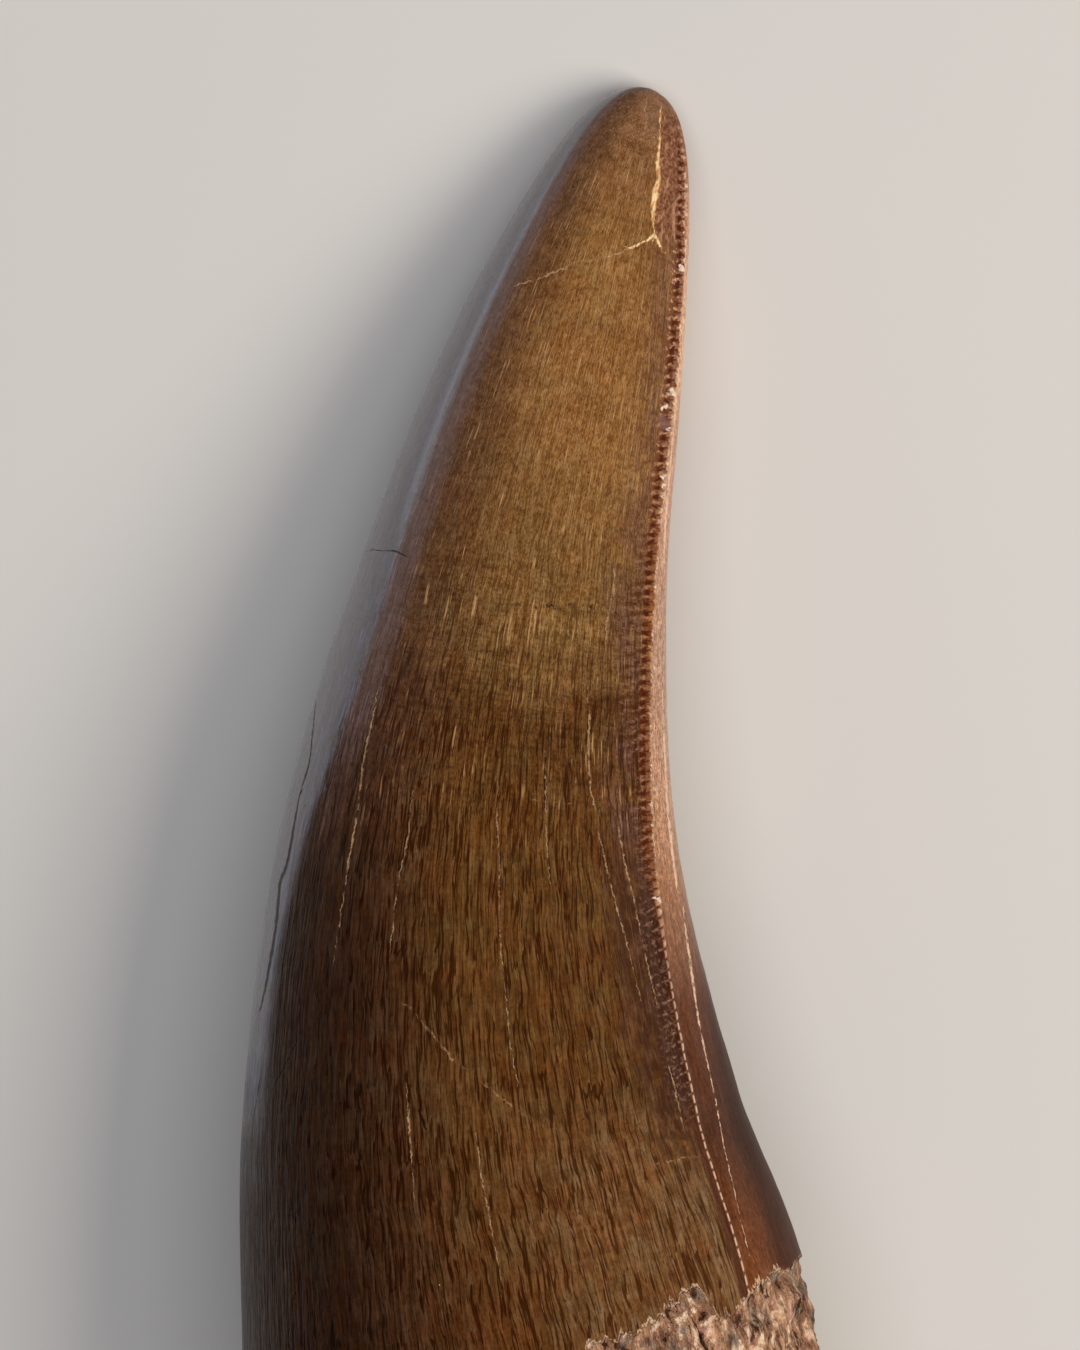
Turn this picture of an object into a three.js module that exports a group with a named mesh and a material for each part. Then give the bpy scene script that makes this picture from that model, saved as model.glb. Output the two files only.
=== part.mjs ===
// A tyrannosaur tooth: a tall recurved crown with a serrated keel along its rear edge, and the
// stub of its root, broken across. It grew as one body, so it is one closed solid.
//
// It lies on its inner side, outer side up. Millimetres, +Z up, +Y towards the tip, +X towards the
// serrated rear edge. The origin is under the middle of the tooth, on the surface it lies on.

import * as THREE from "three";

const { degToRad, lerp, smoothstep } = THREE.MathUtils;

// Lengths along the centre line, measured from the tip.
const toothLength = 92.8;
const crownLength = 77.3; // to the lower edge of the enamel, half-way from front to rear
const enamelSlope = 2; // its edge is this much lower at the front, and this much higher at the rear
const slopeReach = { towardsTip: 37, towardsRoot: 11 }; // the slope fades out over these

// The section is wider from front to rear than from side to side, and flatter on its inner side.
const tipThickness = 0.6; // side to side over front to rear, at the tip
const rootThickness = 0.72; // and at the broken end
const outerFullness = 2.1; // superellipse powers: 2 is an ellipse, more is squarer
const innerFullness = 2.6;
const rearThinning = 0.14;

// The two keels, as angles round the section: 0 is the rear, 90 the outer side, 180 the front.
const rearKeel = { atTip: degToRad(20), atRoot: degToRad(44), length: 80 };
const frontKeel = { atTip: degToRad(196), atRoot: degToRad(214), length: 46 };
const keelHeight = 0.55;
const keelFade = 12; // a keel dies out over this length

const enamelStep = 0.35; // the enamel stands this proud of the root
const stepLength = 0.6;
const breakUnevenness = 0.9; // how far the broken end rises and falls
const breakRounding = 1.4;

// How it lies: rolled about its length, then pitched until its inner side is down.
const roll = degToRad(3.4);
const pitch = degToRad(-6.2);
const flatDepth = 0.25; // what the small flat spots that it rests on take off

// Mesh fineness
const crownRings = 44;
const rootRings = 8;
const columnsPerSide = 22;

// Where the middle of the section is, at lengths from the tip. From the root the tooth bows
// towards the front, the crown recurves to the rear, and the tip bends a little inwards.
const centreLine = new THREE.CubicInterpolant(
  [0, 3.3, 8, 18, 32, 48, 64, 80, 94],
  [
    [6.8, 91.7, -1.9],
    [5.6, 88.5, -1.5],
    [4.15, 84, -1],
    [1.4, 74.3, -0.2],
    [-1.75, 60.7, 0.5],
    [-3.72, 44.8, 0.8],
    [-3, 28.8, 0.5],
    [-0.3, 13, 0.1],
    [0.6, -1, -0.4],
  ].flat(),
  3,
);

// Half the width from front to rear. It is laid out on the square root of the length from the
// tip, which rounds the tip off.
const halfWidths = new THREE.CubicInterpolant(
  [0, 1, 3.3, 8, 18, 32, 48, 64, 80, 94].map(Math.sqrt),
  [0, 2.1, 3.55, 5.1, 7.35, 9.5, 12.3, 15.2, 17.75, 17.2],
  1,
);

function centreAt(length) {
  return new THREE.Vector3().fromArray(centreLine.evaluate(length));
}

function halfWidthAt(length) {
  return halfWidths.evaluate(Math.sqrt(length))[0];
}

function signedPower(value, power) {
  return Math.sign(value) * Math.abs(value) ** power;
}

// A keel's place round the section. Both keels wander as they run down from the tip.
function keelAngle(keel, length) {
  return lerp(keel.atTip, keel.atRoot, length / toothLength);
}

// How high a keel stands: nothing at the very tip, and it dies out at the end of its length.
function keelHeightAt(keel, length) {
  const start = smoothstep(length, 0, 4);
  const end = 1 - smoothstep(length, keel.length - keelFade, keel.length);
  return keelHeight * start * end;
}

// A point of the surface, in a frame with X to the rear, Y to the tip and Z to the outer side.
// proud moves it out along the section's normal.
function surfacePoint(length, angle, proud) {
  const halfWidth = halfWidthAt(length);
  const halfDepth = halfWidth * lerp(tipThickness, rootThickness, length / toothLength);
  const power = 2 / (Math.sin(angle) > 0 ? outerFullness : innerFullness);
  const across = signedPower(Math.cos(angle), power);
  const up = signedPower(Math.sin(angle), power) * (1 - rearThinning * across);
  const normal = new THREE.Vector2(halfDepth * Math.cos(angle), halfWidth * Math.sin(angle));
  if (normal.lengthSq() > 0) normal.normalize();

  const tipward = centreAt(Math.max(length - 1, 0)).sub(centreAt(length + 1)).normalize();
  const rearward = new THREE.Vector3(tipward.y, -tipward.x, 0).normalize();
  const outward = rearward.clone().cross(tipward);
  return centreAt(length)
    .addScaledVector(rearward, halfWidth * across + proud * normal.x)
    .addScaledVector(outward, halfDepth * up + proud * normal.y);
}

// The columns run down the tooth. Column 0 is the rear keel, the columns then pass over the outer
// side to the front keel, and come back under the inner side. They crowd together at the keels.
const columnCount = 2 * columnsPerSide;

function columnAngle(column, length) {
  const rear = keelAngle(rearKeel, length);
  const front = keelAngle(frontKeel, length);
  const share = (column % columnsPerSide) / columnsPerSide;
  const crowded = lerp(share, (1 - Math.cos(Math.PI * share)) / 2, 0.6);
  if (column < columnsPerSide) return lerp(rear, front, crowded);
  return lerp(front, rear + 2 * Math.PI, crowded);
}

function keelRise(column, length) {
  if (column === 0) return keelHeightAt(rearKeel, length);
  if (column === columnsPerSide) return keelHeightAt(frontKeel, length);
  return 0;
}

// Near the edge of the enamel the rings slope with it: fully at the edge, less further away.
function slopeShare(length) {
  const rise = smoothstep(length, crownLength - slopeReach.towardsTip, crownLength);
  return rise - smoothstep(length, crownLength, crownLength + slopeReach.towardsRoot);
}

// A ring of points round the tooth.
function ring(length, inset) {
  return Array.from({ length: columnCount }, (_, column) => {
    const angle = columnAngle(column, length);
    const sloped = length - enamelSlope * slopeShare(length) * Math.cos(angle);
    return surfacePoint(sloped, angle, keelRise(column, length) - inset);
  });
}

// The broken end closes over in a few uneven rings that draw in to its middle.
function breakRing(scale, rise) {
  const edge = toothLength - breakRounding;
  const middle = centreAt(edge);
  return ring(edge, enamelStep).map((point, column) => {
    const turn = (2 * Math.PI * column) / columnCount;
    const uneven = breakUnevenness * (Math.sin(2 * turn + 0.6) + 0.6 * Math.cos(3 * turn));
    const drop = rise * (breakRounding + uneven);
    return point.sub(middle).multiplyScalar(scale).add(middle).sub(new THREE.Vector3(0, drop, 0));
  });
}

function allRings() {
  const rings = [];
  for (let i = 1; i <= crownRings; i += 1) rings.push(ring(crownLength * (i / crownRings) ** 1.8, 0));
  for (let i = 0; i < rootRings; i += 1) {
    const start = crownLength + stepLength;
    const length = lerp(start, toothLength - breakRounding, i / (rootRings - 1));
    rings.push(ring(length, enamelStep));
  }
  rings.push(breakRing(0.985, 0.6), breakRing(0.93, 1), breakRing(0.6, 0.8), breakRing(0.28, 0.7));
  return rings;
}

// A closed skin over the rings, with a point at the tip and one in the middle of the break.
function skin(rings) {
  const points = [centreAt(0), ...rings.flat()];
  const indices = [];
  const at = (row, column) => 1 + row * columnCount + (column % columnCount);
  for (let column = 0; column < columnCount; column += 1) {
    indices.push(0, at(0, column + 1), at(0, column));
    for (let row = 0; row + 1 < rings.length; row += 1) {
      const [a, b] = [at(row, column), at(row, column + 1)];
      const [c, d] = [at(row + 1, column), at(row + 1, column + 1)];
      indices.push(a, b, c, b, d, c);
    }
    indices.push(points.length, at(rings.length - 1, column), at(rings.length - 1, column + 1));
  }
  const last = rings.at(-1);
  const middle = last.reduce((sum, point) => sum.add(point), new THREE.Vector3());
  points.push(middle.divideScalar(columnCount));
  return new THREE.BufferGeometry().setFromPoints(points).setIndex(indices);
}

// Laid down: rolled and pitched, set a little into the surface, and worn flat where it meets it.
function layDown(geometry) {
  geometry.rotateY(roll).rotateX(pitch);
  geometry.computeBoundingBox();
  const { min, max } = geometry.boundingBox;
  geometry.translate(-(min.x + max.x) / 2, -(min.y + max.y) / 2, -min.z - flatDepth);
  const { position } = geometry.attributes;
  for (let i = 0; i < position.count; i += 1) position.setZ(i, Math.max(position.getZ(i), 0));
  geometry.computeVertexNormals();
  return geometry;
}

const fossilEnamel = new THREE.MeshStandardMaterial({
  name: "fossil_enamel",
  color: 0x6f4a26,
  roughness: 0.42,
  metalness: 0,
});

const tooth = new THREE.Mesh(layDown(skin(allRings())), fossilEnamel);
tooth.name = "tooth";

const part = new THREE.Group();
part.name = "tyrannosaur_tooth";
part.add(tooth);

export default part;
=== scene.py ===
import math

import bmesh
import bpy
import numpy as np
from mathutils import Matrix, Vector, noise


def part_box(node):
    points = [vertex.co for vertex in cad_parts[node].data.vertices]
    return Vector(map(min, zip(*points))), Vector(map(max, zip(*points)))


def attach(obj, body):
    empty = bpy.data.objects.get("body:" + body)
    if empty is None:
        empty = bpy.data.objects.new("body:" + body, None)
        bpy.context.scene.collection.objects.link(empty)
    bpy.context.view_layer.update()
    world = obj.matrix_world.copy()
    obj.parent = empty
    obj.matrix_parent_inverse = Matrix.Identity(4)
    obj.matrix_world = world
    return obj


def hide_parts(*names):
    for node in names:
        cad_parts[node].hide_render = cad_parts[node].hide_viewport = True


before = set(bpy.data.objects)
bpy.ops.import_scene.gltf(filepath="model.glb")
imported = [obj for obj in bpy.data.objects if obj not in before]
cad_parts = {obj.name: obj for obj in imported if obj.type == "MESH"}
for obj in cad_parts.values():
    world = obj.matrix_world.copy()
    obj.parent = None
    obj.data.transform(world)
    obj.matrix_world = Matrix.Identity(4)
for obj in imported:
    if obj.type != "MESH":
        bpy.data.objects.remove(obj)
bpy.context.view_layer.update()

# ---------------------------------------------------------------------------------------------
# The body of the tooth: dentine under a skin of enamel, grown in one and turned to stone.
# It is a closed tube of rings, bent, flattened and drawn out to a tip. Sizes in this section
# are millimetres in the tooth's own frame: X to the rear, Y to the tip, Z to the outer side.

tooth_length = 92.8  # along the centre line, from the tip to the broken end
crown_length = 77.3  # from the tip to the middle of the enamel's edge

tip_thickness = 0.6  # side to side over front to rear
root_thickness = 0.72
outer_fullness = 2.1  # superellipse powers: 2 is an ellipse, more is squarer
inner_fullness = 2.6
rear_thinning = 0.14

middle_places = [0, 3.3, 8, 18, 32, 48, 64, 80, 94]  # lengths from the tip
middles = [
    (6.8, 91.7, -1.9),
    (5.6, 88.5, -1.5),
    (4.15, 84, -1),
    (1.4, 74.3, -0.2),
    (-1.75, 60.7, 0.5),
    (-3.72, 44.8, 0.8),
    (-3, 28.8, 0.5),
    (-0.3, 13, 0.1),
    (0.6, -1, -0.4),
]
width_places = [0, 1, 3.3, 8, 18, 32, 48, 64, 80, 94]
half_widths = [0, 2.1, 3.55, 5.1, 7.35, 9.5, 12.3, 15.2, 17.75, 17.2]


def curve_through(places, values, at):
    """A smooth curve through values at uneven places; its slope is the mean of its neighbours'."""
    places = np.asarray(places, float)
    values = np.asarray(values, float).reshape(len(places), -1)
    steps = np.diff(values, axis=0) / np.diff(places)[:, None]
    slopes = np.concatenate([steps[:1], (steps[1:] + steps[:-1]) / 2, steps[-1:]])
    at = np.atleast_1d(at)
    low = np.clip(np.searchsorted(places, at, side="right") - 1, 0, len(places) - 2)
    gap = (places[low + 1] - places[low])[:, None]
    t = (at - places[low])[:, None] / gap
    start = (1 + 2 * t) * (1 - t) ** 2 * values[low] + t * (1 - t) ** 2 * gap * slopes[low]
    end = t**2 * (3 - 2 * t) * values[low + 1] + t**2 * (t - 1) * gap * slopes[low + 1]
    return np.squeeze(start + end, axis=1) if values.shape[1] == 1 else start + end


def ramp(value, low, high):
    """0 below low, 1 above high, smooth between; high may be the smaller one."""
    t = np.clip((value - low) / (high - low), 0, 1)
    return t * t * (3 - 2 * t)


def half_width_at(length):
    return curve_through(np.sqrt(width_places), half_widths, np.sqrt(length))


def signed_power(value, power):
    return np.sign(value) * np.abs(value) ** power


def skin_point(length, angle):
    """Places on the smooth body, the way out of it, and the places with the bend taken out."""
    half_width = half_width_at(length)
    thickness = tip_thickness + (root_thickness - tip_thickness) * length / tooth_length
    half_depth = half_width * thickness
    cosine, sine = np.cos(angle), np.sin(angle)
    power = 2 / np.where(sine > 0, outer_fullness, inner_fullness)
    across = signed_power(cosine, power)
    up = signed_power(sine, power) * (1 - rear_thinning * across)
    middle = curve_through(middle_places, middles, length)
    ahead = curve_through(middle_places, middles, np.maximum(length - 1, 0))
    tipward = ahead - curve_through(middle_places, middles, length + 1)
    tipward /= np.linalg.norm(tipward, axis=1)[:, None]
    rearward = np.stack([tipward[:, 1], -tipward[:, 0], 0 * length], axis=1)
    rearward /= np.linalg.norm(rearward, axis=1)[:, None]
    outward = np.cross(rearward, tipward)
    slant = np.stack([half_depth * cosine, half_width * sine], axis=1)
    slant /= np.maximum(np.linalg.norm(slant, axis=1), 1e-9)[:, None]
    straight = np.stack([half_width * across, tooth_length - length, half_depth * up], axis=1)
    place = middle + rearward * straight[:, :1] + outward * straight[:, 2:]
    out = rearward * slant[:, :1] + outward * slant[:, 1:]
    return place, out, straight, tipward


# The mesh starts as a plain tube whose height counts the rows and whose turn counts the
# columns. Rows crowd at the tip, at the enamel's edge and on the broken end. Columns crowd at
# the two keels, and are closer on the outer side, which shows.
row_stretches = [  # (rows, length at which the stretch ends)
    (22, 4.0),
    (24, 14.0),
    (104, 70.0),
    (44, 80.5),
    (44, tooth_length),
]
first_ring_length = 0.02  # just below the closing point of the tip
break_rows = 26  # these run in over the broken end
rear_strip = 1.3  # fine columns reach this far over the outer side from the rear keel
rear_strip_inside = 0.75
front_strip = 0.8
columns = {"rear": 14, "outer": 172, "front": 6, "inner": 72, "rear_inside": 9}
fine_cuts = 5  # extra rows between the rows along the rear keel

row_lengths = [first_ring_length]
for count, end in row_stretches:
    row_lengths += list(np.linspace(row_lengths[-1], end, count + 1)[1:])
skin_rows = len(row_lengths)
column_count = columns["rear"] + columns["outer"] + 2 * columns["front"]
column_count += columns["inner"] + columns["rear_inside"]
row_count = skin_rows + break_rows

tube = bmesh.new()
bmesh.ops.create_cone(
    tube, cap_ends=True, cap_tris=True, segments=column_count, radius1=1, radius2=1,
    depth=row_count - 1,
)
bmesh.ops.translate(tube, verts=tube.verts, vec=(0, 0, (row_count - 1) / 2))
lengthwise = [e for e in tube.edges if abs(e.verts[0].co.z - e.verts[1].co.z) > 0.5]
bmesh.ops.subdivide_edges(tube, edges=lengthwise, cuts=row_count - 2, use_grid_fill=True)


def column_of(vert):
    return round(math.atan2(vert.co.y, vert.co.x) / math.tau * column_count) % column_count


keel_first_row = 3
keel_last_row = int(np.searchsorted(row_lengths, crown_length + 2))
strip_columns = {c % column_count for c in range(-columns["rear_inside"], columns["rear"] + 1)}
fine_edges = []
for edge in tube.edges:
    low, high = sorted(vert.co.z for vert in edge.verts)
    if high - low > 0.5 and low > keel_first_row and high < keel_last_row:
        if column_of(edge.verts[0]) in strip_columns:
            fine_edges.append(edge)
bmesh.ops.subdivide_edges(tube, edges=fine_edges, cuts=fine_cuts, use_grid_fill=True)
bmesh.ops.triangulate(tube, faces=[f for f in tube.faces if len(f.verts) > 4])

tube.verts.ensure_lookup_table()
tube_places = np.array([vert.co for vert in tube.verts])
rows = tube_places[:, 2]
column = np.array([column_of(vert) for vert in tube.verts])
at_middle = np.hypot(tube_places[:, 0], tube_places[:, 1]) < 0.5  # the two closing points

# The keels wander round the section on their way down from the tip (0 is the rear, 90 degrees
# the outer side, 180 the front).
rear_keel_angles = np.radians([20, 44])  # at the tip and at the broken end
front_keel_angles = np.radians([196, 214])


def keel_angle(angles, length):
    return angles[0] + (angles[1] - angles[0]) * length / tooth_length


def spread(span, near, far, counts):
    """Distances over a span: fine steps near its start and far end, even steps between."""
    near, far = min(near, 0.3 * span), min(far, 0.2 * span)
    return np.concatenate([
        np.linspace(0, near, counts[0], endpoint=False),
        np.linspace(near, span - far, counts[1], endpoint=False),
        np.linspace(span - far, span, counts[2], endpoint=False),
    ])


ring_samples = 721  # points that measure the way round one ring


def lay_columns(length):
    """The angle of every column on one ring, and its way round the skin from the rear keel."""
    rear, front = keel_angle(rear_keel_angles, length), keel_angle(front_keel_angles, length)
    angles = np.linspace(rear, rear + math.tau, ring_samples)
    ring = skin_point(np.full(ring_samples, length), angles)[0]
    way = np.concatenate([[0], np.cumsum(np.linalg.norm(np.diff(ring, axis=0), axis=1))])
    front_way = np.interp(front, angles, way)
    outer = spread(front_way, rear_strip, front_strip,
                   (columns["rear"], columns["outer"], columns["front"]))
    inner = spread(way[-1] - front_way, front_strip, rear_strip_inside,
                   (columns["front"], columns["inner"], columns["rear_inside"]))
    ways = np.concatenate([outer, front_way + inner])
    return np.interp(ways, way, angles), ways, way[-1], front_way


break_share = np.clip((rows - (skin_rows - 1)) / break_rows, 0, 1)  # 0 at the rim, 1 mid-break
length = np.interp(rows, np.arange(skin_rows), row_lengths)
angle = np.zeros(len(rows))
from_rear = np.zeros(len(rows))  # along the skin from the rear keel, outer side positive
from_front = np.zeros(len(rows))
for value in np.unique(length):
    here = length == value
    ring_angles, ways, whole, front_way = lay_columns(value)
    angle[here] = ring_angles[column[here]]
    way = ways[column[here]]
    from_rear[here] = np.where(way > whole / 2, way - whole, way)
    from_front[here] = way - front_way

place, out, straight, tipward = skin_point(length, angle)

# The keels carry the serrations: low chisels with narrow slits between, wider apart towards
# the base. The slits lean back from the edge and run out over the outer side as wrinkles. Low
# on the crown the rear keel thins to a fine ridge.
keel_height = 0.42
front_keel_height = 0.3
front_crest_width = 0.28
keel_places = [0, 6, 14, 28, 50, 60, 66, 80]
keel_shares = [0.1, 0.3, 0.7, 1, 0.85, 0.45, 0.22, 0.18]  # of that height, at those lengths
crest_places = [0, 48, 60, 94]
crest_widths_outside = [0.19, 0.18, 0.11, 0.1]
crest_widths_inside = [0.3, 0.28, 0.16, 0.14]
first_serration = 0.55  # millimetres from one serration to the next, at the tip
first_front_serration = 0.5
serration_growth = 0.0023
serration_jitter = 0.25
slit_lean = 0.35
slit_share = 0.38
slit_softness = 0.1
slit_cut_high = 0.65  # how deep the slits cut into the keel, as a share of its height
slit_cut_low = 0.15
keel_wear = 0.35
wrinkle_depth = 0.04
furrow_depth = 0.02

seed_gap = 17.3
octave_fade = 0.8
octave_ratio = 2.1


def waves(points, size, seed, octaves=3):
    """Soft uneven noise from about -1 to 1, with its largest waves this many millimetres long."""
    spots = points / np.asarray(size, float) + seed * seed_gap
    return np.array([noise.fractal(Vector(p), octave_fade, octave_ratio, octaves) for p in spots])


def serration_count(length, way, first):
    """How many serrations there are from the tip to this length; slits lie at each half."""
    reach = np.maximum(length - slit_lean * way, 0)
    return np.log1p(serration_growth * reach / first) / serration_growth


def slit_at(count):
    away = np.abs(count % 1 - 0.5)
    return ramp(away, slit_share / 2 + slit_softness, slit_share / 2 - slit_softness)


uneven = serration_jitter * waves(straight, (3, 3, 3), 1, 2)
count = serration_count(length, from_rear, first_serration) + uneven
slit = slit_at(count)
crest_outside = curve_through(crest_places, crest_widths_outside, length)
crest_inside = curve_through(crest_places, crest_widths_inside, length)
crest = np.exp(-((from_rear / np.where(from_rear > 0, crest_outside, crest_inside)) ** 2))
keel_run = ramp(length, 0.8, 3.2) * ramp(length, crown_length + 1.5, crown_length - 1)
keel_stand = keel_height * curve_through(keel_places, keel_shares, length) * keel_run
worn_down = 1 - keel_wear * (0.5 + waves(straight, (0.9, 0.9, 0.9), 2, 1))
slit_cut = slit_cut_high + (slit_cut_low - slit_cut_high) * ramp(length, 46, 62)
rear_keel = keel_stand * crest * worn_down * (1 - slit_cut * slit)

front_count = serration_count(length, -from_front, first_front_serration) + uneven
front_run = ramp(length, 2, 8) * ramp(length, 46, 36)
front_crest = np.exp(-((from_front / front_crest_width) ** 2))
front_keel = front_keel_height * front_run * front_crest * (1 - 0.7 * slit_at(front_count))

beside = ramp(from_rear, 0.08, 0.2) * ramp(from_rear, 0.75, 0.4)
furrow = ramp(from_rear, 0.12, 0.3) * ramp(from_rear, 1.1, 0.4) * keel_run
wrinkles = slit * beside * keel_run * ramp(length, 66, 60)

# A flake of enamel is gone beside the keel at the tip, up to a chipped lip.
chip_heights = [82.1, 82.5, 83.2, 84.5, 85.2, 86, 87.1, 88.3, 90.4]
chip_across = [7.3, 7, 6.85, 6.9, 7, 7.25, 7.15, 7.25, 7.35]
chip_depth = 0.15
past_lip = place[:, 0] - np.interp(place[:, 1], chip_heights, chip_across)
flaked = ramp(past_lip, -0.02, 0.14) * ramp(place[:, 1], 81.6, 82.8) * ramp(place[:, 1], 91, 89.6)
flaked *= (np.sin(angle) > 0) * (from_rear > -0.2)
flake_relief = 0.05
flake_roughness = flake_relief * waves(straight, (0.35, 0.35, 0.35), 12, 2)

# The enamel ends in a chipped, wavy edge. Below it the root is lower and fibrous.
edge_across = [-18, -8, 1.9, 4.5, 7, 8.8, 9.5, 10.4, 11.1, 11.9, 13.2, 14.5, 17.1]
edge_lengths = [79, 78.8, 77.8, 76.7, 76.6, 75.6, 75.1, 75.1, 76, 77.1, 76.4, 75.7, 75.3]
inner_slope = 2
enamel_step = 0.42
edge_waver = 0.45
outer_edge = curve_through(edge_across, edge_lengths, np.clip(straight[:, 0], -18, 17.1))
inner_edge = crown_length - inner_slope * np.cos(angle)
outer_share = ramp(np.sin(angle), 0, 0.4)
edge_length = inner_edge + (outer_edge - inner_edge) * outer_share
edge_length = edge_length + edge_waver * waves(straight, (1.1, 50, 1.1), 3, 3)
on_enamel = edge_length - length  # how far inside the enamel's edge, in millimetres
enamel = ramp(on_enamel, -0.25, 0.15)

# Over all lie slow swellings and fine lengthwise ridges, which grow stronger towards the base.
swelling_height = 0.05
swellings = swelling_height * waves(straight, (6, 12, 6), 4, 2) * ramp(length, 1, 10)
ridge_depth = 0.008 + 0.035 * ramp(length, 34, 62)
ridges = ridge_depth * waves(straight, (0.7, 3.6, 0.7), 5, 2) * ramp(length, 2, 12)
ridges *= 1 - 0.85 * ramp(straight[:, 0] / np.maximum(half_width_at(length), 0.5), -0.6, -0.8)
root_fibres = 0.4 * waves(straight, (1.2, 2.0, 1.2), 6, 4)
root_fibres += 0.32 * waves(straight, (0.7, 1.1, 0.7), 7, 2)

proud = swellings + rear_keel + front_keel + enamel * ridges
proud -= wrinkle_depth * wrinkles + furrow_depth * furrow + (chip_depth + flake_roughness) * flaked
proud += (1 - enamel) * (root_fibres - enamel_step)

# Just below the enamel the root bulges in an arch, with a crevice down its rear side.
arch_middle = (8.8, 17.6)
arch_reach = (1.6, 2.4)
arch_rise = 0.6
crevice_heights = [13.6, 15.3, 16.6, 18.6]
crevice_across = [11.1, 10.7, 10, 9]
crevice_width = 0.32
crevice_depth = 0.7
arch = np.exp(-(((place[:, :2] - arch_middle) / arch_reach) ** 2).sum(axis=1))
past_crevice = place[:, 0] - np.interp(place[:, 1], crevice_heights, crevice_across)
crevice = np.exp(-((past_crevice / crevice_width) ** 2)) * ramp(place[:, 1], 13.2, 14.2)
crevice *= ramp(place[:, 1], 19, 18)
proud += (1 - enamel) * (np.sin(angle) > 0) * (arch_rise * arch - crevice_depth * crevice)

# The broken end: its rim is turned in, and the break is stepped and grainy.
rim = 1.2
rim_turn = 0.05  # the share of the way in over which the rim turns
break_relief = 0.9
break_grain = 0.25
drawn_in = break_share**0.9
on_break = (break_share > 0).astype(float)
depth = rim * (1 - np.exp(-break_share / rim_turn))
shaped = place + out * proud[:, None]
shaped[at_middle] = place[at_middle]
centre = curve_through(middle_places, middles, length)
in_break = (shaped - centre) * (1 - drawn_in)[:, None] + centre
relief = break_relief * waves(in_break, (6, 6, 6), 8, 4)
relief += break_grain * waves(in_break, (1, 1, 1), 9, 3)
in_break -= tipward * (depth + ramp(break_share, 0, 0.12) * relief)[:, None]
shaped = np.where(on_break[:, None] > 0, in_break, shaped)
shaped[at_middle & (rows < 1)] = middles[0]

# The tooth lies on its inner side: rolled, then pitched, set down in the frame, and worn flat
# where it touches.
roll = math.radians(3.4)
pitch = math.radians(-6.2)
lying = np.array(Matrix.Rotation(pitch, 3, "X") @ Matrix.Rotation(roll, 3, "Y"))
flat_depth = 0.25
to_metres = 0.001

smooth_laid = place @ lying.T
frame_low, frame_high = (np.array(corner) / to_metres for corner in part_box("tooth"))
set_down = (frame_low + frame_high) / 2 - (smooth_laid.min(axis=0) + smooth_laid.max(axis=0)) / 2
set_down[2] = -flat_depth - smooth_laid[:, 2].min()
laid = shaped @ lying.T + set_down
laid[:, 2] = np.maximum(laid[:, 2], 0)
for vert, spot in zip(tube.verts, laid * to_metres):
    vert.co = spot
bmesh.ops.recalc_face_normals(tube, faces=tube.faces)
if tube.calc_volume(signed=True) < 0:  # the faces now agree, but all of them point inwards
    bmesh.ops.reverse_faces(tube, faces=tube.faces)
mesh = bpy.data.meshes.new("tooth_skin")
tube.to_mesh(mesh)
tube.free()
mesh.shade_smooth()
tooth = bpy.data.objects.new("tooth_skin", mesh)
bpy.context.collection.objects.link(tooth)

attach(tooth, "root")
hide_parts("tooth")

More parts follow.
